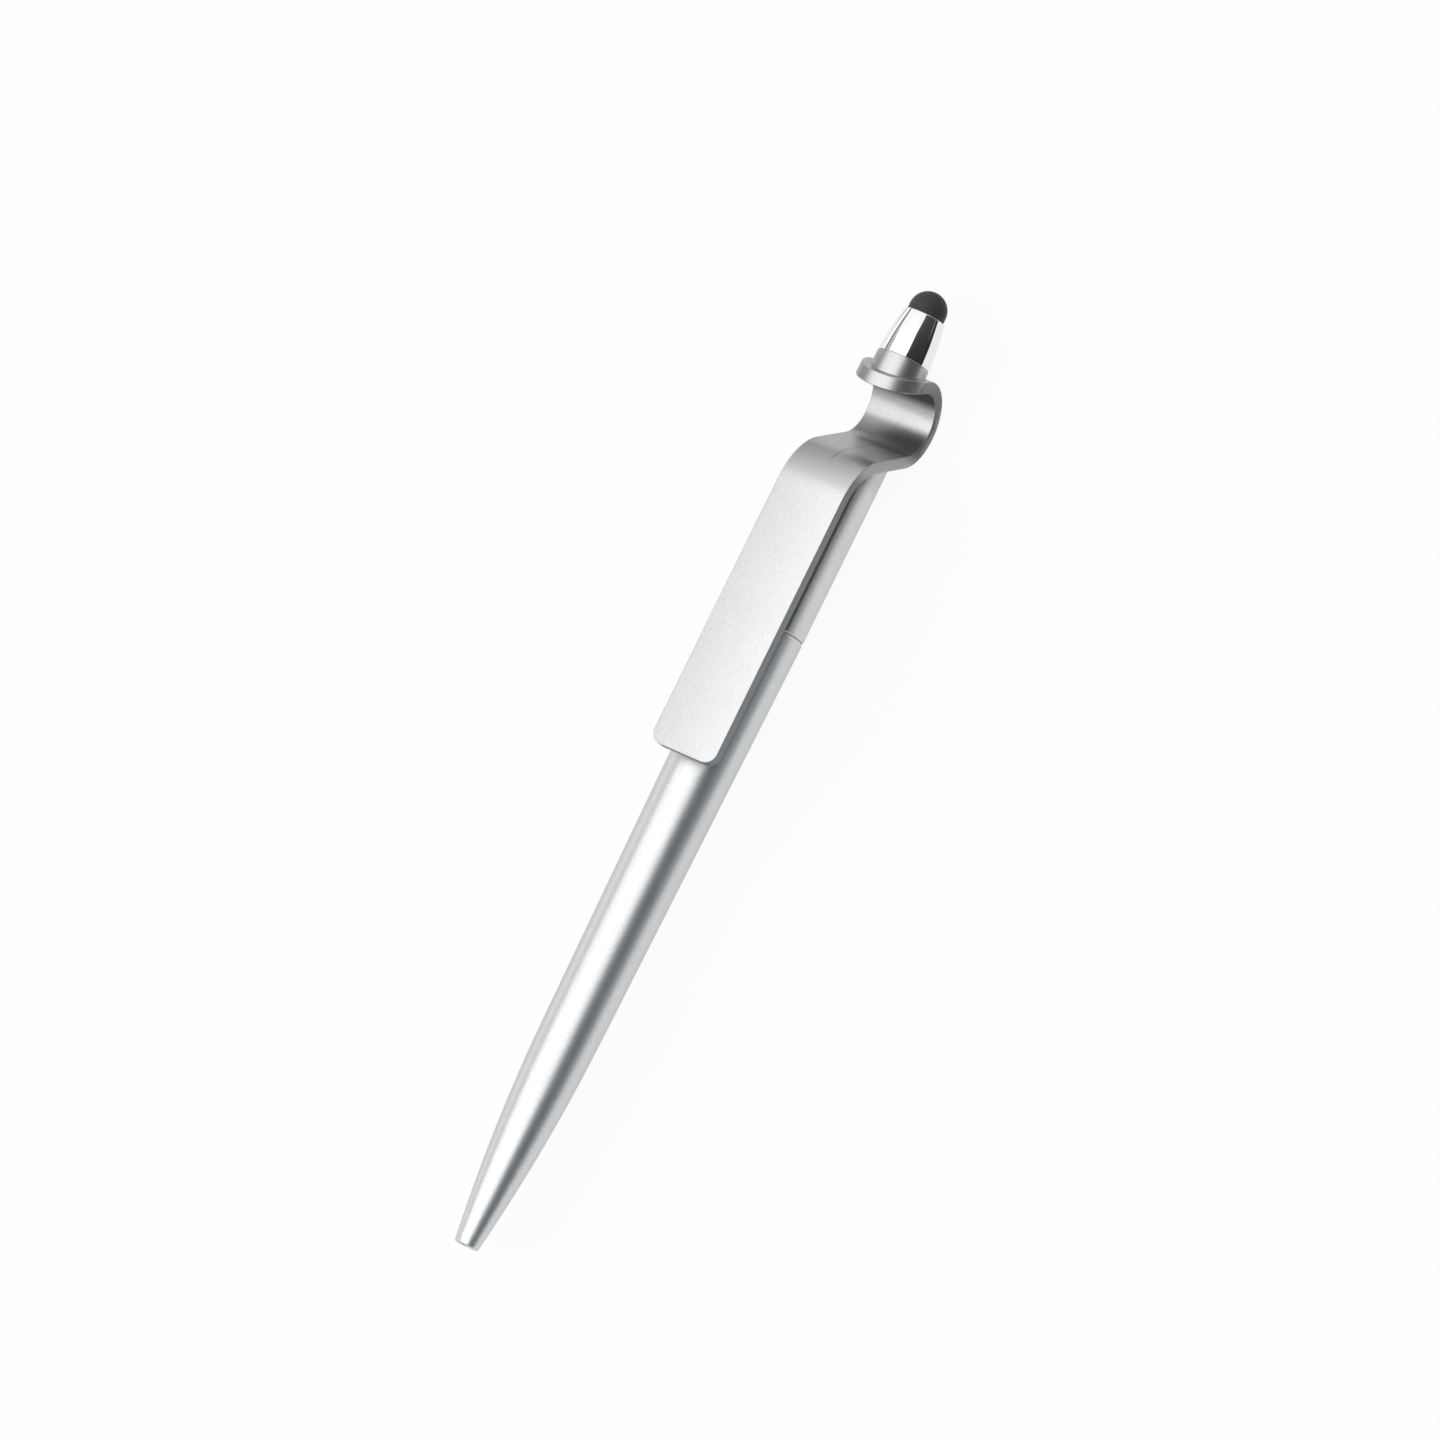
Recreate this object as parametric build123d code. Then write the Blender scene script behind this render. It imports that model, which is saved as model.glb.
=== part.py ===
from build123d import *
import math
import os

# A twist-action ballpoint pen whose clip carries on over the top as a phone stand and a touch-screen stylus.
# Sizes are in millimetres and degrees. Every piece is drawn upright on the Z axis with the writing end at
# height zero and the clip towards +X, then laid down along X with the clip uppermost.

# Fits between pieces, per side
running_clearance = 0.05
seat_clearance = 0.02
slot_clearance = 0.10
edge_break = 0.15

# Refill: tube, ink, adapter, metal point and ball
refill_length = 106.8
refill_radius = 1.5
refill_wall = 0.35
ball_radius = 0.35
ball_showing = 0.25
point_lip = 0.12
cone_length = 2.6
shank_radius = 1.15
shank_length = 6.5
tail_radius = 0.75
tail_length = 3.0
neck_length = 12.0
stop_radius = 1.68
stop_length = 1.5
plug_length = 4.0
ink_channel_radius = 0.4
air_length = 15.2
follower_length = 3.0

# Twist action: how deep the point hides, how far it comes out and for how much of a turn
point_recess = 1.5
point_travel = 4.5
twist_angle = 120.0
lug_radius = 0.7
lug_rise = 2.4
lug_cover = 0.6
pusher_wall = 0.68
pusher_socket = 5.5
guide_wall = 0.8
guide_collar = 1.4
spigot_wall = 1.25
spigot_length = 9.0
cam_wall = 0.9
cam_length = 18.5
cap_skirt = 1.0
cap_wall = 0.7

# Return spring round the point
spring_wire_radius = 0.16
spring_wire_sides = 8
spring_inner_gap = 0.19
spring_outer_gap = 0.3
spring_turns = 7

# Lower barrel
nose_radius = 1.75
nose_edge = 0.3
nose_length = 33.0
nose_hole_gap = 0.07
spring_seat = 7.0
pocket_lead = 2.0
pocket_cone = 6.0
grip_radius = 4.33
barrel_wall = 1.2
socket_ledge = 0.25
rim_bevel_height = 0.4
rim_bevel_depth = 0.12

# Upper barrel
refill_above_joint = 13.0
joint_gap = 0.1
upper_wall = 1.13
head_room = 0.9
crown_thickness = 3.78

# Clip and phone stand: one bent strip
strip_width = 10.5
strip_thickness = 1.82
strip_edge = 0.12
clip_gap = 0.9
clip_reach = 21.7
clip_corner = 1.87
bend_radius = 8.8
slot_tilt = 24.5
slot_gap = 9.25
slot_floor = 7.55

# Stylus
stylus_set_back = 0.65
collar_radius = 3.92
collar_rise = 1.24
stud_radius = 1.3
stud_depth = 1.6
ferrule_height = 7.03
ferrule_bulge = 0.17
ferrule_top_radius = 3.06
ferrule_edge = 0.22
ferrule_wall = 0.5
ferrule_lip = 0.6
core_flange = 1.2
core_post = 3.6
nib_radius = 2.76
nib_wall = 0.8
nib_bead_radius = 3.0
nib_bead_height = 1.0
nib_shank = 0.92

# Radii that follow, from the refill outwards to the barrel's skin
pusher_radius = refill_radius + seat_clearance + pusher_wall
guide_bore = pusher_radius + running_clearance
guide_radius = guide_bore + guide_wall
cam_bore = guide_radius + running_clearance
cam_radius = cam_bore + cam_wall
upper_bore = cam_radius + seat_clearance
joint_radius = upper_bore + upper_wall
captive_radius = upper_bore - running_clearance
spigot_radius = guide_bore + spigot_wall
socket_radius = spigot_radius + seat_clearance
nose_bore = shank_radius + nose_hole_gap
spring_radius = shank_radius + spring_inner_gap + spring_wire_radius
pocket_radius = spring_radius + spring_wire_radius + spring_outer_gap
slot_width = 2 * (lug_radius + slot_clearance)

# Heights that follow, from the writing end upwards
cone_end = point_recess + cone_length
shank_end = cone_end + shank_length
stop_low = shank_end + neck_length
tube_low = stop_low + stop_length
plug_top = tube_low + plug_length
refill_rear = point_recess + refill_length
follower_top = refill_rear - air_length
ink_top = follower_top - follower_length
joint = refill_rear - refill_above_joint
lug_high = refill_rear + lug_rise
lug_low = lug_high - point_travel
collar_top = joint + guide_collar
cam_low = collar_top + running_clearance
cam_top = cam_low + cam_length
cap_low = cam_top + running_clearance
guide_top = cap_low + cap_skirt
cap_top = guide_top + cap_wall
bore_top = cap_top + head_room
crown_under = bore_top + crown_thickness
clip_end = joint - clip_reach

# Side view of the strip: the bend's centre is (bend_x, bend_z), the phone slot's is (slot_x, slot_z)
tilt_sin = math.sin(math.radians(slot_tilt))
tilt_cos = math.cos(math.radians(slot_tilt))
tilt_tan = tilt_sin / tilt_cos
clip_front = joint_radius + clip_gap + strip_thickness
ramp_top = crown_under + strip_thickness / tilt_cos
bend_x = clip_front - bend_radius
bend_z = ramp_top - bend_x * tilt_tan - bend_radius / tilt_cos
slot_radius = slot_gap / 2
slot_x = slot_radius - slot_floor
slot_z = ramp_top - slot_x * tilt_tan + slot_radius / tilt_cos

# Stylus heights, from the tilted disc on which it stands
stylus_x = -stylus_set_back
disc_radius = strip_width / 2
disc_top = slot_z + (slot_radius + strip_thickness) / tilt_cos - (stylus_x - slot_x) * tilt_tan
stylus_low = disc_top + collar_rise
ferrule_top = stylus_low + ferrule_height
flange_top = stylus_low + core_flange
shank_top = ferrule_top + nib_shank
nib_top = shank_top + nib_radius

# The laid-down pen: the slot's back touches the table under the middle of the pen's length
axis_height = slot_floor + strip_thickness
laid_down = Plane(origin=(-nib_top / 2, 0, axis_height), x_dir=(0, 0, 1), z_dir=(1, 0, 0))

UPRIGHT = (Align.CENTER, Align.CENTER, Align.MIN)
FAR = 4 * nib_top


def rod(radius, low, high):
    """Cylinder on the pen's axis."""
    return Pos(0, 0, low) * Cylinder(radius, high - low, align=UPRIGHT)


def tube(outer, inner, low, high):
    """Plain tube on the pen's axis."""
    return rod(outer, low, high) - rod(inner, low, high)


def face_of(*lines):
    """Face in the side view, closed by lines drawn as (across, height)."""
    return Plane.XZ * make_face([edge for line in lines for edge in line.edges()])


def turned(*lines):
    """Solid turned about the pen's axis from an outline drawn as (radius, height)."""
    return revolve(face_of(*lines), Axis.Z)


def rim_edges(shape, height):
    """Circular edges at one height, the largest first."""
    rings = shape.edges().filter_by(GeomType.CIRCLE)
    rings = rings.filter_by_position(Axis.Z, height - seat_clearance, height + seat_clearance)
    return rings.sort_by(SortBy.RADIUS, reverse=True)


# Lower barrel

def make_lower_barrel():
    """Tapered front half with its nose, spring pocket and socket for the guide sleeve."""
    tip = (nose_radius, 0)
    grip = (grip_radius, nose_length)
    shoulder = (joint_radius, joint - rim_bevel_height)
    rim = (joint_radius - rim_bevel_depth, joint)
    socket_low = joint - spigot_length - running_clearance
    pocket_end = stop_low + pocket_lead
    inside = Polyline(
        rim,
        (socket_radius, joint),
        (socket_radius, socket_low),
        (spigot_radius - socket_ledge, socket_low),
        (grip_radius - barrel_wall, pocket_end + pocket_cone),
        (pocket_radius, pocket_end),
        (pocket_radius, spring_seat),
        (nose_bore, spring_seat),
        (nose_bore, 0),
        tip,
    )
    nose_middle = nose_length / 2
    taper = (joint_radius - grip_radius) / (shoulder[1] - nose_length)
    nose = Bezier(grip, (grip_radius - taper * nose_middle, nose_middle), tip)
    barrel = turned(nose, Polyline(grip, shoulder, rim), inside)
    return fillet(rim_edges(barrel, 0)[:1], nose_edge)


# Upper barrel with the clip, phone stand and stylus seat in one moulding

def strip_side(depth):
    """Lines of the strip's side view at a depth below its upper skin, from the clip's end to the disc."""
    skin = clip_front - depth
    bend = bend_radius - depth
    curl = slot_radius + depth
    clip_line = Line((skin, clip_end), (skin, bend_z))
    bend_line = CenterArc((bend_x, bend_z), bend, 0, 90 - slot_tilt)
    ramp_end = (slot_x - curl * tilt_sin, slot_z - curl * tilt_cos)
    ramp_line = Line((bend_x + bend * tilt_sin, bend_z + bend * tilt_cos), ramp_end)
    slot_line = CenterArc((slot_x, slot_z), curl, 90 - slot_tilt, 180)
    disc_start = (slot_x + curl * tilt_sin, slot_z + curl * tilt_cos)
    disc_front = stylus_x + 2 * disc_radius
    disc_end = (disc_front, disc_start[1] - (disc_front - disc_start[0]) * tilt_tan)
    return [clip_line, bend_line, ramp_line, slot_line, Line(disc_start, disc_end)]


def make_strip():
    """The clip, its bend over the barrel, the phone slot and the round-ended disc."""
    upper = strip_side(0)
    lower = strip_side(strip_thickness)
    clip_close = Line(upper[0] @ 0, lower[0] @ 0)
    disc_close = Line(upper[-1] @ 1, lower[-1] @ 1)
    strip = extrude(face_of(*upper, *lower, clip_close, disc_close), strip_width / 2, both=True)
    corners = strip.edges().filter_by(Axis.X).group_by(Axis.Z)[0]
    strip = fillet(corners, clip_corner) - disc_waste()
    clip_edges = strip.edges().filter_by(Axis.Z).sort_by(SortBy.LENGTH)[-4:]
    return fillet(clip_edges, strip_edge)


def disc_waste():
    """What lies outside the disc's round end, above the middle of the phone slot."""
    middle = slot_z - (stylus_x - slot_x) * tilt_tan
    front = stylus_x + FAR
    zone = Polyline(
        (stylus_x, middle),
        (front, middle - FAR * tilt_tan),
        (front, 2 * FAR),
        (stylus_x, 2 * FAR),
        close=True,
    )
    return extrude(face_of(zone), FAR, both=True) - Pos(stylus_x, 0, 0) * rod(disc_radius, -FAR, 2 * FAR)


def above_strip():
    """Everything in front of the clip and above the ramp, from the middle of the strip's thickness."""
    clip_line, bend_line, ramp_line = strip_side(strip_thickness / 2)[:3]
    ramp_foot = bend_line @ 1
    ramp_far = (-FAR, ramp_foot.Y + (FAR + ramp_foot.X) * tilt_tan)
    outside = Polyline(ramp_far, (-FAR, 2 * FAR), (FAR, 2 * FAR), (FAR, clip_end), clip_line @ 0)
    return extrude(face_of(clip_line, bend_line, Line(ramp_foot, ramp_far), outside), FAR, both=True)


def below_disc():
    """Everything under the disc and inside the slot, from the middle of the strip's thickness."""
    slot_line, disc_line = strip_side(strip_thickness / 2)[3:]
    far_end = disc_line @ 0 + (disc_line % 0) * FAR
    slot_back = slot_line @ 1
    outside = Polyline(far_end, (far_end.X, -FAR), (slot_back.X, -FAR), slot_back)
    return extrude(face_of(slot_line, Line(disc_line @ 0, far_end), outside), FAR, both=True)


def make_upper_body():
    """Upper barrel, clip, phone stand, disc and stylus collar."""
    skin_low = joint + joint_gap
    shell = rod(joint_radius, skin_low, slot_z)
    shell = chamfer(rim_edges(shell, skin_low), edge_break) - above_strip()
    collar = Pos(stylus_x, 0, 0) * rod(collar_radius, slot_z, stylus_low) - below_disc()
    body = make_strip() + shell + collar
    body = body - rod(upper_bore, skin_low, bore_top)
    return body - Pos(stylus_x, 0, 0) * rod(stud_radius + seat_clearance, stylus_low - stud_depth, stylus_low)


# Twist mechanism

def make_guide_sleeve():
    """Sleeve plugged into the lower barrel; its two straight slots keep the pusher from turning."""
    sleeve = rod(spigot_radius, joint - spigot_length, joint)
    sleeve += rod(captive_radius, joint, collar_top)
    sleeve += rod(guide_radius, collar_top, guide_top)
    sleeve -= rod(guide_bore, joint - spigot_length, guide_top)
    slot_foot = Pos(0, 0, lug_low) * Rot(0, 90, 0) * Cylinder(slot_width / 2, 2 * cam_radius)
    slot = Pos(0, 0, lug_low) * Box(2 * cam_radius, slot_width, guide_top - lug_low, align=UPRIGHT)
    return sleeve - slot - slot_foot


def helical_slot():
    """Slot along which a lug is driven down as the cam sleeve turns, with its entry from the top."""
    mid_radius = (cam_bore + cam_radius) / 2
    through = 2 * cam_wall
    pitch = point_travel * 360 / twist_angle
    path = Rot(0, 0, twist_angle) * Helix(pitch, point_travel, mid_radius, (0, 0, lug_low), lefthand=True)
    start = path @ 0
    section = Plane(origin=start, x_dir=(start.X, start.Y, 0), z_dir=path % 0) * Rectangle(through, slot_width)
    slot = sweep(section, path=path, is_frenet=True)
    eye = Pos(mid_radius, 0, 0) * Rot(0, 90, 0) * Cylinder(slot_width / 2, through)
    entry = Pos(mid_radius, 0, lug_high) * Box(through, slot_width, cam_top - lug_high, align=UPRIGHT)
    return slot + Rot(0, 0, twist_angle) * Pos(0, 0, lug_low) * eye + Pos(0, 0, lug_high) * eye + entry


def make_cam_sleeve():
    """Sleeve fixed in the upper barrel; its two helical slots drive the pusher's lugs."""
    slot = helical_slot()
    return tube(cam_radius, cam_bore, cam_low, cam_top) - slot - Rot(0, 0, 180) * slot


def make_mechanism_cap():
    """Cap on the guide sleeve that keeps the cam sleeve and pusher in place."""
    return rod(captive_radius, cap_low, cap_top) - rod(guide_radius + seat_clearance, cap_low, guide_top)


def make_pusher():
    """Plug on the refill's rear end with two lugs that ride in both sets of slots."""
    body = rod(pusher_radius, refill_rear - pusher_socket, lug_high + lug_radius + lug_cover)
    body -= rod(refill_radius + seat_clearance, refill_rear - pusher_socket, refill_rear)
    lug_span = 2 * (cam_radius - slot_clearance)
    return body + Pos(0, 0, lug_high) * Rot(0, 90, 0) * Cylinder(lug_radius, lug_span)


# Refill

def make_refill_tube():
    """Ink tube."""
    return tube(refill_radius, refill_radius - refill_wall, tube_low, refill_rear)


def make_ink_column():
    """Ink in the tube."""
    return rod(refill_radius - refill_wall - seat_clearance, plug_top, ink_top)


def make_ink_follower():
    """Grease plug that follows the ink down the tube."""
    return rod(refill_radius - refill_wall - seat_clearance, ink_top, follower_top)


def make_point_adapter():
    """Moulded neck between point and tube, with the stop that the spring pushes on."""
    adapter = rod(shank_radius, shank_end, stop_low)
    adapter += rod(stop_radius, stop_low, tube_low)
    adapter += rod(refill_radius - refill_wall - seat_clearance, tube_low, plug_top)
    adapter -= rod(tail_radius + seat_clearance, shank_end, shank_end + tail_length + seat_clearance)
    return adapter - rod(ink_channel_radius, shank_end, plug_top)


def make_point_holder():
    """Turned metal point: cone, shank and tail, bored for the ink and the ball."""
    lip_height = point_recess + ball_showing
    point = turned(Polyline(
        (0, lip_height),
        (ball_radius + point_lip, lip_height),
        (shank_radius, cone_end),
        (shank_radius, shank_end),
        (tail_radius, shank_end),
        (tail_radius, shank_end + tail_length),
        (0, shank_end + tail_length),
        close=True,
    ))
    point -= Pos(0, 0, point_recess + ball_radius) * Sphere(ball_radius + seat_clearance)
    return point - rod(ink_channel_radius / 2, cone_end - cone_length / 2, shank_end + tail_length)


def make_writing_ball():
    """Ball that rolls in the point."""
    return Pos(0, 0, point_recess + ball_radius) * Sphere(ball_radius)


def make_return_spring():
    """Coil spring between the nose and the adapter's stop, wound as a chain of tangent arcs."""
    low = spring_seat + spring_wire_radius + seat_clearance
    rise = stop_low - spring_wire_radius - seat_clearance - low
    quarter_turns = 4 * spring_turns
    lead = rise / (2 * math.pi * spring_turns)
    length = math.hypot(spring_radius, lead)

    def wire(step):
        angle = math.pi / 2 * step
        place = Vector(math.cos(angle) * spring_radius, math.sin(angle) * spring_radius, low + lead * angle)
        heading = Vector(-math.sin(angle) * spring_radius, math.cos(angle) * spring_radius, lead) / length
        return place, heading

    arcs = []
    for step in range(quarter_turns):
        begin, out = wire(step)
        end, into = wire(step + 1)
        span = end - begin
        along = span.dot(out + into)
        bend = 2 * (1 - out.dot(into))
        reach = (math.sqrt(along ** 2 + bend * span.dot(span)) - along) / bend
        first = begin + out * reach
        second = end - into * reach
        middle = (first + second) / 2
        arcs.append(TangentArc(begin, middle, tangent=out))
        arcs.append(TangentArc(middle, end, tangent=second - first))
    begin, out = wire(0)
    section = Plane(origin=begin, z_dir=out) * RegularPolygon(spring_wire_radius, spring_wire_sides)
    print("spring gap between turns", round(rise / spring_turns - 2 * spring_wire_radius, 3))
    return sweep(section, path=Wire(arcs))


# Stylus

def on_stylus_axis(shape):
    """Move a piece from the pen's axis to the stylus's own."""
    return Pos(stylus_x, 0, 0) * shape


def make_nib_core():
    """Core glued into the collar: stud, flange for the ferrule and post for the nib."""
    core = rod(stud_radius, stylus_low - stud_depth + seat_clearance, stylus_low)
    core += rod(collar_radius - ferrule_wall - seat_clearance, stylus_low, flange_top)
    core += rod(nib_radius - nib_wall - seat_clearance, flange_top, flange_top + core_post)
    return on_stylus_axis(core)


def make_stylus_ferrule():
    """Bullet-shaped metal shell that holds the nib's bead down."""
    mouth = nib_radius + seat_clearance
    half_way = ((collar_radius + ferrule_top_radius) / 2 + 2 * ferrule_bulge, stylus_low + ferrule_height / 2)
    skin = Bezier((collar_radius, stylus_low), half_way, (ferrule_top_radius, ferrule_top))
    inside = Polyline(
        (ferrule_top_radius, ferrule_top),
        (mouth, ferrule_top),
        (mouth, ferrule_top - ferrule_lip),
        (collar_radius - ferrule_wall, flange_top),
        (collar_radius - ferrule_wall, stylus_low),
        (collar_radius, stylus_low),
    )
    shell = turned(skin, inside)
    shell = fillet(rim_edges(shell, ferrule_top)[:1], ferrule_edge)
    return on_stylus_axis(chamfer(rim_edges(shell, stylus_low)[:1], edge_break))


def make_stylus_nib():
    """Hollow rubber dome with a bead at its foot."""
    hollow_radius = nib_radius - nib_wall
    skin = CenterArc((0, shank_top), nib_radius, 0, 90)
    hollow = CenterArc((0, shank_top), hollow_radius, 0, 90)
    side = Polyline(
        (hollow_radius, shank_top),
        (hollow_radius, flange_top),
        (nib_bead_radius, flange_top),
        (nib_bead_radius, flange_top + nib_bead_height),
        (nib_radius, flange_top + nib_bead_height),
        (nib_radius, shank_top),
    )
    top = Line((0, nib_top), (0, shank_top + hollow_radius))
    return on_stylus_axis(turned(skin, top, hollow, side))


pieces = {
    "lower_barrel": make_lower_barrel,
    "upper_body": make_upper_body,
    "guide_sleeve": make_guide_sleeve,
    "cam_sleeve": make_cam_sleeve,
    "mechanism_cap": make_mechanism_cap,
    "pusher": make_pusher,
    "refill_tube": make_refill_tube,
    "ink_column": make_ink_column,
    "ink_follower": make_ink_follower,
    "point_adapter": make_point_adapter,
    "point_holder": make_point_holder,
    "writing_ball": make_writing_ball,
    "return_spring": make_return_spring,
    "nib_core": make_nib_core,
    "stylus_ferrule": make_stylus_ferrule,
    "stylus_nib": make_stylus_nib,
}

os.makedirs("parts", exist_ok=True)
for name, make in pieces.items():
    export_step(laid_down * make(), f"parts/{name}.step")
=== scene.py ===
import math

import bmesh
import bpy
from mathutils import Matrix, Vector


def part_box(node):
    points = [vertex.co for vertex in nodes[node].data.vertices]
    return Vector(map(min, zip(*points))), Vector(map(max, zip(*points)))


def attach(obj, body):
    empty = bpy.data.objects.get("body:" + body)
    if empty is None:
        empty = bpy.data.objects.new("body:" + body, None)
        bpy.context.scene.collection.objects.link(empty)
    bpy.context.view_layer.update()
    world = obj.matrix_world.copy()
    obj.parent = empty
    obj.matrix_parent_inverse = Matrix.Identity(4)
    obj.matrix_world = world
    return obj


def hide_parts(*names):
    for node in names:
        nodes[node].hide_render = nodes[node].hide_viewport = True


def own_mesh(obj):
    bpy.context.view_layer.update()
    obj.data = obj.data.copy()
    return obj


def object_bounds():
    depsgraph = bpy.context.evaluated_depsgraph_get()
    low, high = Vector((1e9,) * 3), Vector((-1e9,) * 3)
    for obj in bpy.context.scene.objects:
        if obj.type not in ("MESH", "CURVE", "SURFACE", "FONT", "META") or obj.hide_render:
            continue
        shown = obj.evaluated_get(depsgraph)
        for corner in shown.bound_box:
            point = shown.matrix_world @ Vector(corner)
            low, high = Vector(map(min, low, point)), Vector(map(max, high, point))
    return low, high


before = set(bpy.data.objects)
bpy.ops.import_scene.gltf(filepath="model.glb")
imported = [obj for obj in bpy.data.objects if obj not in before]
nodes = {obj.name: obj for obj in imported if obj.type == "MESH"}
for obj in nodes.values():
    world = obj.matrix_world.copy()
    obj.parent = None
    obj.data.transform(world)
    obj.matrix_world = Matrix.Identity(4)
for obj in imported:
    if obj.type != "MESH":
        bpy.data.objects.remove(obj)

# A twist-action stylus pen in satin silver, lying clip upwards on a white table.
# Places are in metres in the row's frame: +X from writing end to stylus, +Z out of the clip's face.

cad_low, cad_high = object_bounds()
MM = 0.001
ALONG = Vector((1, 0, 0))
ACROSS = Vector((0, 1, 0))
UPRIGHT = Vector((0, 0, 1))

# View of the pen: how far the camera is turned round from the clip's face, how far it leans towards
# the writing end, and how far the pen leans clockwise from upright in the picture
VIEW_TURN = math.radians(26.4)
VIEW_LEAN = math.radians(6.0)
VIEW_ROLL = math.radians(26.17)
FRAME_WIDTH = 199.7 * MM
AIM_FROM_TIP = 80.85 * MM
AIM_LEFT = 0.555 * MM
LENS = 200.0
SENSOR = 36.0
NEAREST = 0.05
FARTHEST = 20.0

# Table: its size, its matte white, and the share of that white, which takes shadow
TABLE_SIZE = 60.0
TABLE_MATTE = (0.85, 0.85, 0.85)
TABLE_SHADOW = 0.08

# Studio walls: their colours low down and high up, and the sines of the elevations between which they dim
STUDIO_WHITE = (1.0, 1.0, 1.0)
STUDIO_DIM = (0.25, 0.25, 0.25)
STUDIO_DIMS = (0.12, 0.3)

# Tints of the reflector cards to the right, and how far the floor cards lie above the table
RIGHT_TINT = (0.09, 0.12, 0.13)
RIGHT_FLOOR_TINT = (0.07, 0.105, 0.115)
FLOOR_LIFT = 0.5 * MM
UPPER_FLOOR_LIFT = 0.6 * MM

# Silver paint, between the dark and the light of its flakes; then the colours painted over it: shade on the
# bent strip, shade under the clip, the parting line, shade on the strip's edges, a highlight on parts of them
# and shade under the disc; and the roughness of the dull parts
SILVER_DARK = (0.575, 0.58, 0.585)
SILVER_LIGHT = (0.695, 0.70, 0.705)
SILVER_FLAKES = (0.35, 0.65)
PAINTED_SHADE_COLOUR = (0.05, 0.05, 0.05)
UNDER_CLIP_SHADE_COLOUR = (0.29, 0.29, 0.295)
LINE_COLOUR = (0.20, 0.20, 0.21)
EDGE_SHADE_COLOUR = (0.30, 0.30, 0.31)
EDGE_HIGHLIGHT_COLOUR = (0.55, 0.55, 0.56)
UNDER_DISC_SHADE_COLOUR = (0.13, 0.13, 0.132)
DULL_ROUGHNESS = 0.65

# Landmarks of the upper body: the clip's underside, the place along the pen where the bent strip leaves
# the barrel, and the slot's far wall. A pair below is where a patch of paint begins and where it is full,
# as places or, without a unit, as parts of the surface's normal.
CLIP_UNDER = 15.1 * MM
STRIP_FROM = 44.8 * MM
SLOT_FAR = 57.0 * MM

# The strip's edges, which stand a little proud of the barrel, and the upright faces of the clip's rim, which
# get painted shade
STRIP_EDGE = (5.17 * MM, 5.22 * MM)
CLIP_RIM = (CLIP_UNDER, CLIP_UNDER + 0.2 * MM)
UPRIGHT_FACE = (0.6, 0.4)

# Parts of those edges with a painted highlight: along the ramp and round the disc
RAMP_EDGE = (53.0 * MM, 51.0 * MM)
DISC_EDGE = (57.5 * MM, 60.0 * MM)

# The slot's far wall under the disc, which faces the ramp, where shade is painted
FACES_RAMP = (-0.66, -0.86)
UNDER_DISC = (SLOT_FAR, SLOT_FAR + 0.5 * MM)

# The mould's parting line along the middle of the bent strip, fainter in the slot
LINE_SIDE = (0.09 * MM, 0.03 * MM)
LINE_START = (STRIP_FROM, STRIP_FROM + 1.5 * MM)
LINE_FADE = (51.5 * MM, 52.5 * MM)
LINE_FAINT = 0.35
LINE_END = (SLOT_FAR, SLOT_FAR - 0.5 * MM)

# Painted shade on the bent strip, darker to one side and darkest at the slot's bottom; two of the pairs below
# are shares of the painted shade colour, for the strip and for the slot
CLIP_HEIGHT = (CLIP_UNDER - 0.1 * MM, CLIP_UNDER)
PAST_BARREL = (STRIP_FROM - 1.0 * MM, STRIP_FROM + 1.0 * MM)
STRIP_ACROSS = (-4.5 * MM, STRIP_EDGE[0])
STRIP_SHADE_SHARE = (0.13, 0.30)
SLOT_SHADE_SHARE = (0.0, 0.6)
SLOT_DEEP = (8.0 * MM, 5.0 * MM)
SLOT_FACES_UP = (-0.1, 0.2)
SLOT_START = (51.0 * MM, 53.0 * MM)
SLOT_END = (SLOT_FAR, SLOT_FAR - 1.5 * MM)

# Painted shade on the upper barrel under the clip, as far as the barrel's face tilts to this angle
SHELTER_TILT = (math.cos(math.radians(56.0)), math.cos(math.radians(53.0)))
SHELTER_ROUND = (0.3, 0.15)
SHELTER_HEIGHT = (CLIP_UNDER - 0.2 * MM, CLIP_UNDER - 0.4 * MM)
SHELTER_END = (50.0 * MM, 49.0 * MM)

# Nib and spring sizes, the same as the solids', and how finely their meshes are divided
NIB_RADIUS = 2.76 * MM
NIB_WALL = 0.8 * MM
NIB_BEAD_HEIGHT = 1.0 * MM
NIB_ROUND_STEPS = 96
NIB_ARC_STEPS = 28
SPRING_WIRE_RADIUS = 0.16 * MM
SPRING_TURNS = 7
SPRING_WIRE_SIDES = 10
SPRING_TURN_STEPS = 24


def lower_barrel_axis():
    """Height of the pen's axis above the table."""
    low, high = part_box("lower_barrel")
    return (low.z + high.z) / 2


AXIS_HEIGHT = lower_barrel_axis()


# Small helpers for colours and node trees

def grey(value):
    """Neutral colour of a given brightness."""
    return (value, value, value)


def empty_material(name):
    """Material with its node tree and the socket that takes the surface's shader."""
    material = bpy.data.materials.new(name)
    material.use_nodes = True
    tree = material.node_tree
    tree.nodes.clear()
    surface = tree.nodes.new("ShaderNodeOutputMaterial").inputs["Surface"]
    return material, tree, surface


def new_material(name):
    """Material with its node tree and a principled shader in place."""
    material, tree, surface = empty_material(name)
    shader = tree.nodes.new("ShaderNodeBsdfPrincipled")
    tree.links.new(shader.outputs["BSDF"], surface)
    return material, tree, shader


def fill_sockets(tree, node, **sockets):
    """Give a node's sockets their values; a linked socket is given as an output."""
    for key, value in sockets.items():
        socket = node.inputs[key.replace("_", " ")]
        if isinstance(value, bpy.types.NodeSocket):
            tree.links.new(value, socket)
        else:
            socket.default_value = value


def add_node(tree, kind, settings=None, **sockets):
    """Node with its settings and sockets filled in."""
    node = tree.nodes.new(kind)
    for key, value in (settings or {}).items():
        setattr(node, key, value)
    fill_sockets(tree, node, **sockets)
    return node


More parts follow.
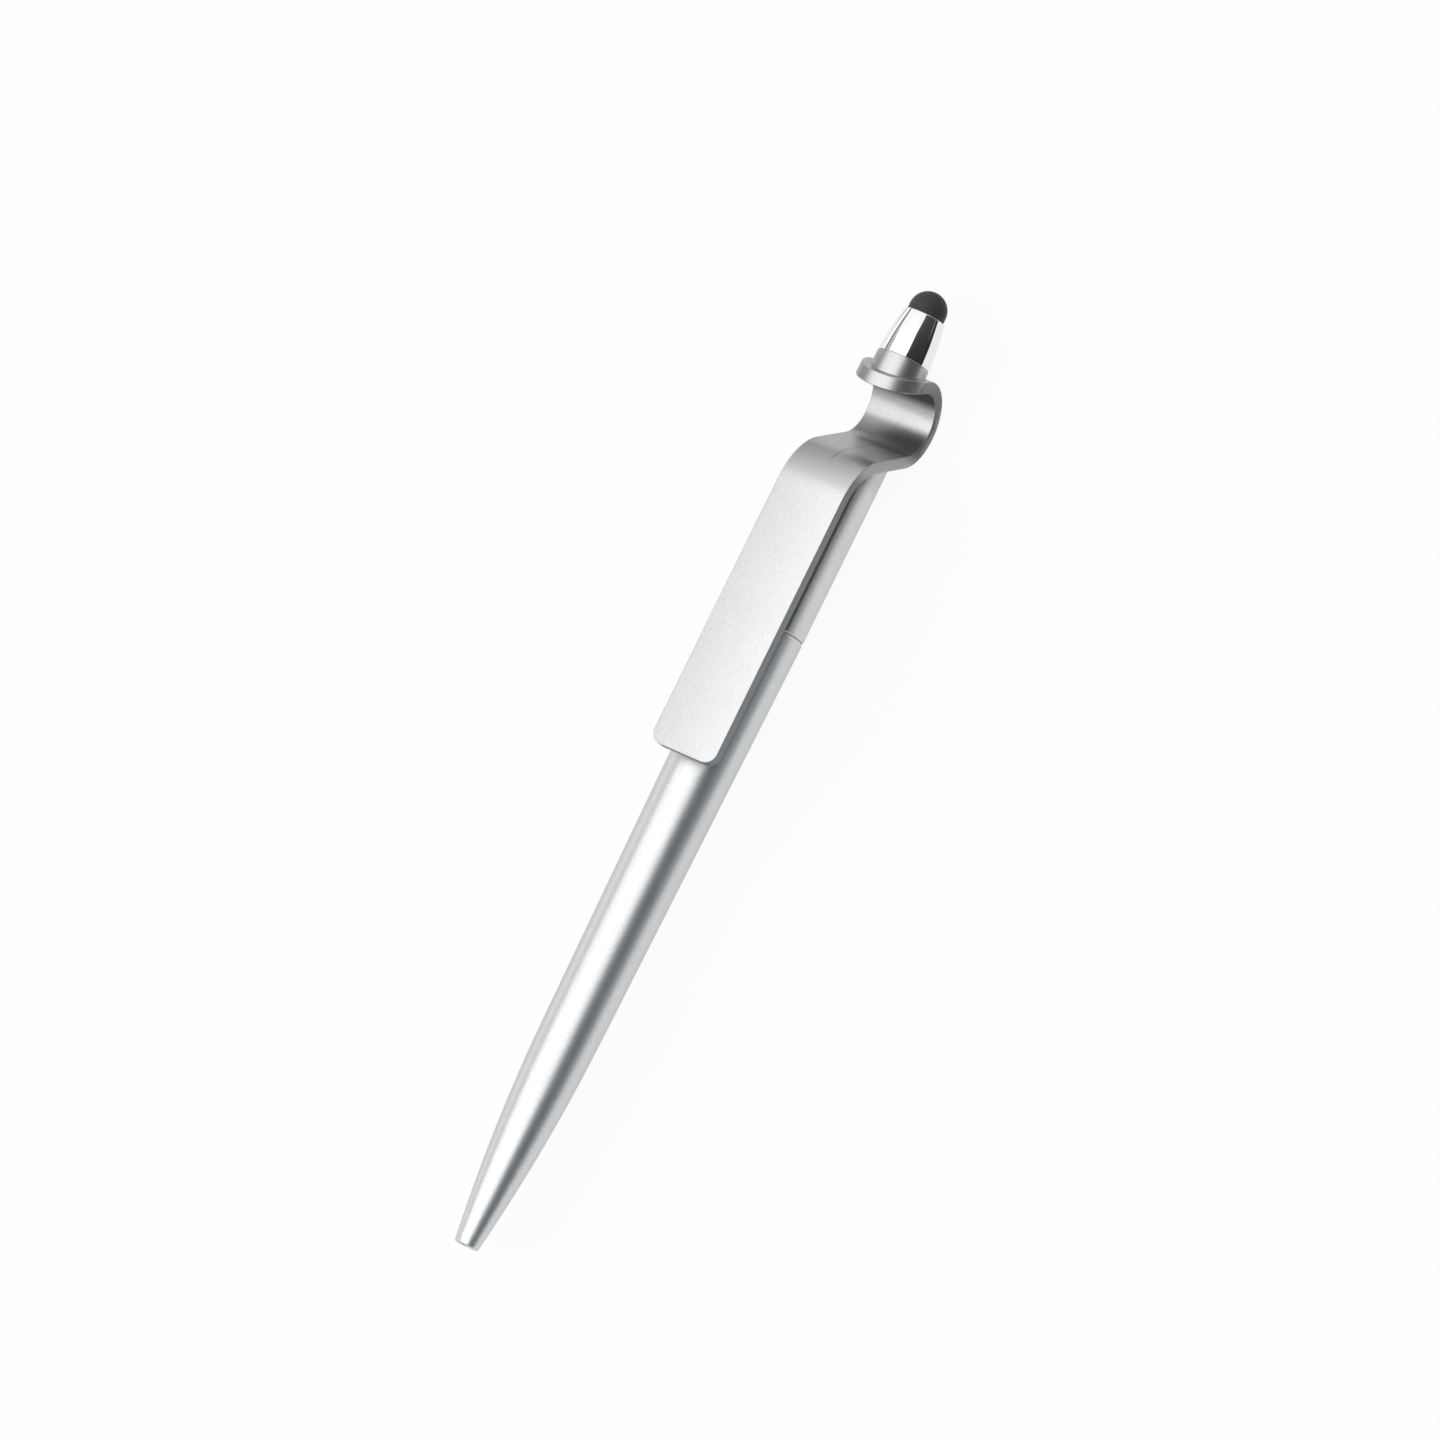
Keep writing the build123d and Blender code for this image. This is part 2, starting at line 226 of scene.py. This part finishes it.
def row_coordinates(tree):
    """Position in the row's frame, because every piece's object sits at the origin."""
    return tree.nodes.new("ShaderNodeTexCoord").outputs["Object"]


def noise(tree, place, scale, detail=2.0, roughness=0.5):
    """Noise value between 0 and 1; scale is in cells per metre."""
    node = add_node(tree, "ShaderNodeTexNoise", Vector=place, Scale=scale, Detail=detail, Roughness=roughness)
    return node.outputs["Fac"]


def spread(tree, value, low, high):
    """A value from 0 to 1 mapped to low to high."""
    node = add_node(tree, "ShaderNodeMapRange", Value=value, To_Min=low, To_Max=high)
    return node.outputs["Result"]


def band(tree, value, low, high):
    """A value from low to high mapped to 0 to 1."""
    node = add_node(tree, "ShaderNodeMapRange", Value=value, From_Min=low, From_Max=high)
    return node.outputs["Result"]


def mix_colours(tree, value, first, second):
    """Colour from first, plain or linked, to a plain second as the value goes from 0 to 1."""
    if not isinstance(first, bpy.types.NodeSocket):
        first = (*first, 1.0)
    node = add_node(tree, "ShaderNodeMix", {"data_type": "RGBA"}, Factor=value, A=first, B=(*second, 1.0))
    return node.outputs["Result"]


def mix_numbers(tree, value, first, second):
    """Number from a linked first to a plain second as the value goes from 0 to 1."""
    node = add_node(tree, "ShaderNodeMix", {"data_type": "FLOAT"}, Factor=value, A=first, B=second)
    return node.outputs["Result"]


def combine(tree, operation, *values):
    """Result of a maths operation on one or two linked values."""
    node = add_node(tree, "ShaderNodeMath", {"operation": operation})
    for socket, value in zip(node.inputs, values):
        tree.links.new(value, socket)
    return node.outputs["Value"]


def size_of(tree, value):
    """A value without its sign."""
    return combine(tree, "ABSOLUTE", value)


def overlap(tree, first, *others):
    """Patch where all the given patches are."""
    for other in others:
        first = combine(tree, "MULTIPLY", first, other)
    return first


def union(tree, first, second):
    """Patch where either of two patches is."""
    return combine(tree, "MAXIMUM", first, second)


def add_relief(tree, shader, height, strength, depth):
    """Fine relief on a surface from a noise value."""
    bump = add_node(tree, "ShaderNodeBump", Strength=strength, Distance=depth, Height=height)
    fill_sockets(tree, shader, Normal=bump.outputs["Normal"])


# Paint of the two silver mouldings

def silver_paint(name, roughness, edge_tint):
    """Satin metallic paint: fine flakes that sparkle a little and look darker at a glancing angle."""
    material, tree, shader = new_material(name)
    place = row_coordinates(tree)
    flakes = noise(tree, place, scale=5200.0, detail=3.0, roughness=0.7)
    clouds = noise(tree, place, scale=260.0)
    fill_sockets(tree, shader, Metallic=1.0, Specular_Tint=(*grey(edge_tint), 1.0))
    add_relief(tree, shader, flakes, strength=0.2, depth=0.012 * MM)
    colour = mix_colours(tree, band(tree, flakes, *SILVER_FLAKES), SILVER_DARK, SILVER_LIGHT)
    rough = spread(tree, clouds, roughness - 0.03, roughness + 0.03)
    return material, tree, shader, colour, rough


def barrel_paint():
    """Paint of the lower barrel, even all over."""
    material, tree, shader, colour, rough = silver_paint("barrel_silver", roughness=0.37, edge_tint=0.75)
    fill_sockets(tree, shader, Base_Color=colour, Roughness=rough)
    return material


def strip_edges(tree, place, normal):
    """Edges of the bent strip and the clip's rim, where shade is painted."""
    rim = overlap(
        tree,
        band(tree, size_of(tree, normal["Z"]), *UPRIGHT_FACE),
        band(tree, place["Z"], *CLIP_RIM),
    )
    return union(tree, rim, band(tree, size_of(tree, place["Y"]), *STRIP_EDGE))


def parting_line(tree, place):
    """The mould's parting line along the bent strip."""
    return overlap(
        tree,
        band(tree, size_of(tree, place["Y"]), *LINE_SIDE),
        band(tree, place["X"], *LINE_START),
        spread(tree, band(tree, place["X"], *LINE_FADE), 1.0, LINE_FAINT),
        band(tree, place["X"], *LINE_END),
    )


def strip_and_slot_shade(tree, place, normal, past_barrel):
    """Painted shade on the bent strip, darker to one side, and at the slot's bottom."""
    strip = union(tree, band(tree, place["Z"], *CLIP_HEIGHT), past_barrel)
    strip = overlap(tree, strip, spread(tree, band(tree, place["Y"], *STRIP_ACROSS), *STRIP_SHADE_SHARE))
    slot_bottom = overlap(
        tree,
        band(tree, place["Z"], *SLOT_DEEP),
        band(tree, normal["Z"], *SLOT_FACES_UP),
        band(tree, place["X"], *SLOT_START),
        band(tree, place["X"], *SLOT_END),
    )
    return union(tree, strip, spread(tree, slot_bottom, *SLOT_SHADE_SHARE))


def under_clip_shade(tree, place, normal):
    """Painted shade on the upper barrel under the clip."""
    return overlap(
        tree,
        band(tree, normal["Z"], *SHELTER_TILT),
        band(tree, size_of(tree, normal["X"]), *SHELTER_ROUND),
        band(tree, place["Z"], *SHELTER_HEIGHT),
        band(tree, place["X"], *SHELTER_END),
    )


def body_paint():
    """Paint of the upper body, with painted shade on the strip, under the clip, on the edges and under the
    disc, a painted highlight on parts of the edges, a parting line, and a duller finish on the edges and
    under the disc.
    """
    material, tree, shader, colour, rough = silver_paint("body_silver", roughness=0.36, edge_tint=0.8)
    place = add_node(tree, "ShaderNodeSeparateXYZ", Vector=row_coordinates(tree)).outputs
    facing = tree.nodes.new("ShaderNodeTexCoord").outputs["Normal"]
    normal = add_node(tree, "ShaderNodeSeparateXYZ", Vector=facing).outputs
    past_barrel = band(tree, place["X"], *PAST_BARREL)
    edge = strip_edges(tree, place, normal)
    on_ramp = overlap(tree, past_barrel, band(tree, place["X"], *RAMP_EDGE))
    edge_highlight = overlap(tree, edge, union(tree, on_ramp, band(tree, place["X"], *DISC_EDGE)))
    under_disc_shade = overlap(tree, band(tree, normal["X"], *FACES_RAMP), band(tree, place["X"], *UNDER_DISC))
    # Painted shade on the bent strip, darker to one side, and at the slot's bottom
    colour = mix_colours(tree, strip_and_slot_shade(tree, place, normal, past_barrel), colour, PAINTED_SHADE_COLOUR)
    # Painted shade on the upper barrel under the clip
    colour = mix_colours(tree, under_clip_shade(tree, place, normal), colour, UNDER_CLIP_SHADE_COLOUR)
    colour = mix_colours(tree, parting_line(tree, place), colour, LINE_COLOUR)
    # Painted shade on the strip's edges and the clip's rim
    colour = mix_colours(tree, edge, colour, EDGE_SHADE_COLOUR)
    # Painted highlight on the edges along the ramp and round the disc
    colour = mix_colours(tree, edge_highlight, colour, EDGE_HIGHLIGHT_COLOUR)
    # Painted shade on the slot's far wall under the disc
    colour = mix_colours(tree, under_disc_shade, colour, UNDER_DISC_SHADE_COLOUR)
    rough = mix_numbers(tree, union(tree, edge, under_disc_shade), rough, DULL_ROUGHNESS)
    fill_sockets(tree, shader, Base_Color=colour, Roughness=rough)
    return material


# Other finishes

def chrome_plate():
    """Polished chrome with the faint waviness of a deep-drawn shell."""
    material, tree, shader = new_material("chrome_plate")
    place = row_coordinates(tree)
    waves = noise(tree, place, scale=420.0, detail=1.0)
    haze = noise(tree, place, scale=1500.0, detail=3.0)
    colour = mix_colours(tree, waves, (0.80, 0.805, 0.81), (0.86, 0.86, 0.865))
    rough = spread(tree, haze, 0.03, 0.07)
    fill_sockets(tree, shader, Base_Color=colour, Roughness=rough, Metallic=1.0)
    add_relief(tree, shader, waves, strength=0.25, depth=0.05 * MM)
    return material


def nib_rubber():
    """Matte conductive silicone, charcoal, with a fine bloom."""
    material, tree, shader = new_material("nib_rubber")
    place = row_coordinates(tree)
    grain = noise(tree, place, scale=7000.0, detail=4.0, roughness=0.65)
    bloom = noise(tree, place, scale=600.0, detail=3.0)
    colour = mix_colours(tree, bloom, (0.020, 0.021, 0.024), (0.032, 0.032, 0.034))
    rough = spread(tree, grain, 0.55, 0.75)
    fill_sockets(tree, shader, Base_Color=colour, Roughness=rough, Specular_IOR_Level=0.45)
    fill_sockets(tree, shader, Sheen_Weight=0.15, Sheen_Roughness=0.5)
    add_relief(tree, shader, grain, strength=0.35, depth=0.03 * MM)
    return material


def moulded_plastic(name, dark, light, roughness=0.42):
    """Plain moulded plastic with a slight mottle."""
    material, tree, shader = new_material(name)
    mottle = noise(tree, row_coordinates(tree), scale=900.0, detail=3.0)
    colour = mix_colours(tree, mottle, dark, light)
    rough = spread(tree, mottle, roughness - 0.05, roughness + 0.05)
    fill_sockets(tree, shader, Base_Color=colour, Roughness=rough)
    return material


def bare_metal(name, dark, light, roughness=0.22):
    """Turned or drawn metal with fine lines round the pen's axis."""
    material, tree, shader = new_material(name)
    place = row_coordinates(tree)
    stretch = add_node(tree, "ShaderNodeMapping", Vector=place, Scale=(9000.0, 300.0, 300.0))
    lines = noise(tree, stretch.outputs["Vector"], scale=1.0)
    colour = mix_colours(tree, lines, dark, light)
    rough = spread(tree, lines, roughness - 0.06, roughness + 0.06)
    fill_sockets(tree, shader, Base_Color=colour, Roughness=rough, Metallic=1.0)
    return material


def clear_tube():
    """Translucent polypropylene of the refill."""
    material, tree, shader = new_material("clear_tube")
    mottle = noise(tree, row_coordinates(tree), scale=700.0)
    colour = mix_colours(tree, mottle, (0.84, 0.87, 0.87), (0.9, 0.92, 0.92))
    rough = spread(tree, mottle, 0.22, 0.32)
    fill_sockets(tree, shader, Base_Color=colour, Roughness=rough, Transmission_Weight=0.75, IOR=1.49)
    return material


def paint(node, material):
    """Give a carried-over solid its finish."""
    data = nodes[node].data
    data.materials.clear()
    data.materials.append(material)


def finish_solids():
    """Finish of every solid that stays."""
    white_acetal = moulded_plastic("white_acetal", (0.78, 0.78, 0.76), (0.86, 0.86, 0.84))
    black_acetal = moulded_plastic("black_acetal", (0.022, 0.022, 0.025), (0.04, 0.04, 0.043))
    paint("lower_barrel", barrel_paint())
    paint("upper_body", body_paint())
    paint("stylus_ferrule", chrome_plate())
    paint("guide_sleeve", white_acetal)
    paint("mechanism_cap", white_acetal)
    paint("cam_sleeve", black_acetal)
    paint("pusher", black_acetal)
    paint("nib_core", moulded_plastic("core_plastic", (0.03, 0.03, 0.03), (0.06, 0.06, 0.06)))
    paint("refill_tube", clear_tube())
    paint("ink_column", moulded_plastic("ink_paste", (0.012, 0.018, 0.09), (0.025, 0.035, 0.14), 0.2))
    paint("ink_follower", moulded_plastic("grease", (0.72, 0.62, 0.38), (0.82, 0.74, 0.52), 0.2))
    paint("point_adapter", moulded_plastic("adapter_plastic", (0.84, 0.84, 0.82), (0.9, 0.9, 0.88), 0.35))
    paint("point_holder", bare_metal("nickel_silver", (0.66, 0.60, 0.48), (0.76, 0.70, 0.58)))
    paint("writing_ball", bare_metal("carbide", (0.45, 0.45, 0.47), (0.55, 0.55, 0.57), 0.15))


# Pieces made here

def new_object(name, data):
    """Object in the scene with the given mesh, lamp or camera."""
    thing = bpy.data.objects.new(name, data)
    bpy.context.scene.collection.objects.link(thing)
    return thing


def add_ring(build, centre, first, second, radius, steps):
    """Points round a centre, in the plane of two directions at right angles."""
    ring = []
    for step in range(steps):
        angle = 2 * math.pi * step / steps
        outward = first * math.cos(angle) + second * math.sin(angle)
        ring.append(build.verts.new(centre + outward * radius))
    return ring


def bridge(build, rings):
    """Faces from ring to ring, any of which may be a single point."""
    for first, second in zip(rings, rings[1:]):
        steps = max(len(first), len(second))
        for step in range(steps):
            after = (step + 1) % steps
            corners = [first[step % len(first)], first[after % len(first)]]
            corners += [second[after % len(second)], second[step % len(second)]]
            distinct = list(dict.fromkeys(corners))
            build.faces.new(distinct)


def new_piece(name, build, material):
    """Smooth piece from a finished mesh, with its faces turned outwards."""
    bmesh.ops.recalc_face_normals(build, faces=build.faces)
    mesh = bpy.data.meshes.new(name)
    build.to_mesh(mesh)
    build.free()
    mesh.shade_smooth()
    mesh.materials.append(material)
    return new_object(name, mesh)


def quarter_arc(along, radius):
    """Outline points (along, radius) of a dome, from its foot to just short of its top."""
    angles = [math.pi / 2 * step / NIB_ARC_STEPS for step in range(NIB_ARC_STEPS)]
    return [(along + radius * math.sin(angle), radius * math.cos(angle)) for angle in angles]


def make_nib():
    """Soft dome nib: hollow silicone cap whose side runs down into the ferrule to its bead."""
    low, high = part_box("stylus_nib")
    centre = (low + high) / 2
    bead_radius = (high.y - low.y) / 2
    bead_top = low.x + NIB_BEAD_HEIGHT
    shank_top = high.x - NIB_RADIUS
    hollow = NIB_RADIUS - NIB_WALL
    outline = [(shank_top + hollow, 0.0)]
    outline += reversed(quarter_arc(shank_top, hollow))
    outline += [(low.x, hollow), (low.x, bead_radius), (bead_top, bead_radius), (bead_top, NIB_RADIUS)]
    outline += quarter_arc(shank_top, NIB_RADIUS)
    outline += [(high.x, 0.0)]
    build = bmesh.new()
    rings = []
    for along, radius in outline:
        middle = Vector((along, centre.y, centre.z))
        if radius == 0:
            rings.append([build.verts.new(middle)])
        else:
            rings.append(add_ring(build, middle, ACROSS, UPRIGHT, radius, NIB_ROUND_STEPS))
    bridge(build, rings)
    nib = new_piece("nib_dome", build, nib_rubber())
    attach(nib, "top")
    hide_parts("stylus_nib")


def make_spring():
    """Return spring: one wire wound round the pen's direction."""
    low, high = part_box("return_spring")
    centre = (low + high) / 2
    radius = (high.y - low.y) / 2 - SPRING_WIRE_RADIUS
    start = low.x + SPRING_WIRE_RADIUS
    whole_turn = 2 * math.pi * SPRING_TURNS
    lead = (high.x - SPRING_WIRE_RADIUS - start) / whole_turn
    steps = SPRING_TURN_STEPS * SPRING_TURNS
    build = bmesh.new()
    rings = []
    for step in range(steps + 1):
        turned = whole_turn * step / steps
        angle = math.pi / 2 + turned
        outward = Vector((0.0, math.cos(angle), math.sin(angle)))
        heading = Vector((lead, -math.sin(angle) * radius, math.cos(angle) * radius)).normalized()
        middle = Vector((start + lead * turned, centre.y, centre.z)) + outward * radius
        sideways = heading.cross(outward)
        rings.append(add_ring(build, middle, outward, sideways, SPRING_WIRE_RADIUS, SPRING_WIRE_SIDES))
    bridge(build, rings)
    build.faces.new(rings[0])
    build.faces.new(rings[-1])
    wire = bare_metal("spring_wire", (0.5, 0.5, 0.52), (0.62, 0.62, 0.64))
    spring = new_piece("spring_coil", build, wire)
    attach(spring, "barrel")
    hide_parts("return_spring")
    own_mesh(spring)


# Stage: table, surroundings, lamps, cards and camera

def rectangle(name, width, height, material):
    """Flat object in its own XY plane, centred on its origin."""
    x, y = width / 2, height / 2
    mesh = bpy.data.meshes.new(name)
    mesh.from_pydata([(-x, -y, 0), (x, -y, 0), (x, y, 0), (-x, y, 0)], [], [(0, 1, 2, 3)])
    mesh.materials.append(material)
    return new_object(name, mesh)


def table_white():
    """White to the eye and in reflections, with a share that takes shadow."""
    material, tree, surface = empty_material("table_white")
    rays = tree.nodes.new("ShaderNodeLightPath").outputs
    looked_at = union(tree, rays["Is Camera Ray"], rays["Is Glossy Ray"])
    seen = union(tree, looked_at, rays["Is Transmission Ray"])
    glow = add_node(tree, "ShaderNodeEmission", Strength=seen)
    matte = add_node(tree, "ShaderNodeBsdfDiffuse", Color=(*TABLE_MATTE, 1.0))
    mix = add_node(tree, "ShaderNodeMixShader", Fac=TABLE_SHADOW)
    tree.links.new(glow.outputs["Emission"], mix.inputs[1])
    tree.links.new(matte.outputs["BSDF"], mix.inputs[2])
    tree.links.new(mix.outputs["Shader"], surface)
    return material


def make_table():
    """White table under the pen, which takes a soft shadow."""
    table = rectangle("table", TABLE_SIZE, TABLE_SIZE, table_white())


def make_surroundings():
    """Studio walls: white just above the table's edge, dim higher up."""
    world = bpy.data.worlds.new("studio")
    bpy.context.scene.world = world
    world.use_nodes = True
    tree = world.node_tree
    tree.nodes.clear()
    surface = tree.nodes.new("ShaderNodeOutputWorld").inputs["Surface"]
    towards = tree.nodes.new("ShaderNodeTexCoord").outputs["Generated"]
    height = add_node(tree, "ShaderNodeSeparateXYZ", Vector=towards).outputs["Z"]
    colour = mix_colours(tree, band(tree, height, *STUDIO_DIMS), STUDIO_WHITE, STUDIO_DIM)
    walls = add_node(tree, "ShaderNodeBackground", Color=colour)
    tree.links.new(walls.outputs["Background"], surface)


def aim(thing, place, target, up=ALONG):
    """Put a lamp or card at a place, square to the line to its target."""
    back = (Vector(place) - Vector(target)).normalized()
    side = up.cross(back).normalized()
    top = back.cross(side)
    thing.matrix_world = Matrix((side, top, back)).transposed().to_4x4()
    thing.location = place


def make_softbox(name, place, target, size, radiance):
    """Rectangular soft lamp of a given brightness, as seen from the pen."""
    lamp = bpy.data.lights.new(name, "AREA")
    lamp.shape = "RECTANGLE"
    lamp.size, lamp.size_y = size
    lamp.energy = radiance * math.pi * size[0] * size[1]
    aim(new_object(name, lamp), place, target)


def card_glow(name, height, colour, top_colour):
    """Plain glow of a card, whose colour may change from its bottom to its top."""
    material, tree, surface = empty_material(name)
    if top_colour is None:
        glow = add_node(tree, "ShaderNodeEmission", Color=(*colour, 1.0))
    else:
        on_card = add_node(tree, "ShaderNodeSeparateXYZ", Vector=row_coordinates(tree)).outputs["Y"]
        rise = band(tree, on_card, -height / 2, height / 2)
        glow = add_node(tree, "ShaderNodeEmission", Color=mix_colours(tree, rise, colour, top_colour))
    tree.links.new(glow.outputs["Emission"], surface)
    return material


def make_card(name, place, target, size, colour, top_colour=None, up=ALONG):
    """Card out of the picture, which only reflections see."""
    card = rectangle(name, *size, card_glow(name, size[1], colour, top_colour))
    card.visible_camera = False
    card.visible_shadow = False
    card.visible_diffuse = False
    aim(card, place, target, up)


def make_floor_card(name, low, high, colour, lift=FLOOR_LIFT):
    """Card lying on the table between two corners, which only reflections see."""
    x, y = (low[0] + high[0]) / 2, (low[1] + high[1]) / 2
    size = (high[1] - low[1], high[0] - low[0])
    below = (x, y, -1.0)
    make_card(name, (x, y, lift), below, size, colour)


def make_lamps():
    """Softboxes overhead and to the left."""
    make_softbox("overhead", (-0.11, 0.155, 0.55), (-0.11, 0.155, 0.0), size=(1.09, 0.88), radiance=1.50)
    make_softbox("left", (0.0, 0.70, 0.22), (0.0, 0.0, AXIS_HEIGHT), size=(0.42, 1.2), radiance=0.45)


def make_cards():
    """Cards that shape the reflections, each with its place, the point it is aimed at and its size."""
    make_card("right", (-0.355, -0.50, 0.25), (-0.355, 0.0, AXIS_HEIGHT), (0.50, 0.90), RIGHT_TINT)
    make_card("upper_right", (0.070, -0.27, 0.30), (0.070, 0.0, 0.30), (0.50, 0.030), grey(0.03))
    make_floor_card("right_floor", (-0.80, -0.65), (0.064, -0.07), RIGHT_FLOOR_TINT)
    make_floor_card("joint_right_floor", (0.0, -0.07), (0.024, -0.045), RIGHT_FLOOR_TINT)
    make_card(
        "beyond", (0.59, 0.155, 0.275), (0.227, 0.155, -0.069), (1.2, 0.757),
        colour=grey(0.5), top_colour=grey(1.2), up=UPRIGHT,
    )
    make_card(
        "before", (-0.56, 0.15, 0.275), (0.0, 0.15, 0.275), (1.2, 0.55),
        colour=grey(0.45), top_colour=grey(1.0), up=UPRIGHT,
    )
    make_floor_card("beyond_floor", (0.084, -0.03), (0.30, 0.08), grey(0.42))
    make_card(
        "stylus_right", (0.340, -0.27, 0.275), (0.340, 0.0, 0.275), (0.55, 0.51),
        colour=grey(0.02), top_colour=grey(0.16),
    )
    make_floor_card("stylus_right_floor", (0.064, -0.30), (0.16, -0.029), grey(0.03), UPPER_FLOOR_LIFT)
    make_floor_card("disc_right_floor", (0.052, -0.07), (0.064, -0.006), grey(0.10), UPPER_FLOOR_LIFT)
    make_card("stylus_left", (0.1525, 0.25, 0.095), (0.1525, 0.0, 0.095), (0.06, 0.135), grey(0.3))
    make_card("disc_left", (0.0605, 0.05, 0.0225), (0.0605, 0.0, 0.0225), (0.045, 0.021), grey(0.35))


def make_camera():
    """Long lens, turned and leaned as the photograph was taken."""
    back = Vector((
        -math.sin(VIEW_LEAN),
        -math.cos(VIEW_LEAN) * math.sin(VIEW_TURN),
        math.cos(VIEW_LEAN) * math.cos(VIEW_TURN),
    ))
    along = (ALONG - back * ALONG.dot(back)).normalized()
    left = back.cross(along)
    up = along * math.cos(VIEW_ROLL) + left * math.sin(VIEW_ROLL)
    right = up.cross(back)
    aim_point = Vector((cad_low.x + AIM_FROM_TIP, 0, AXIS_HEIGHT)) + left * AIM_LEFT
    distance = FRAME_WIDTH * LENS / SENSOR
    camera_data = bpy.data.cameras.new("camera")
    camera_data.lens = LENS
    camera_data.sensor_width = SENSOR
    camera_data.clip_start = NEAREST
    camera_data.clip_end = FARTHEST
    camera = new_object("camera", camera_data)
    camera.matrix_world = Matrix((right, up, back)).transposed().to_4x4()
    camera.location = aim_point + back * distance
    bpy.context.scene.camera = camera


finish_solids()
make_nib()
make_spring()
make_table()
make_surroundings()
make_lamps()
make_cards()
make_camera()
bpy.context.scene.view_settings.view_transform = "Standard"
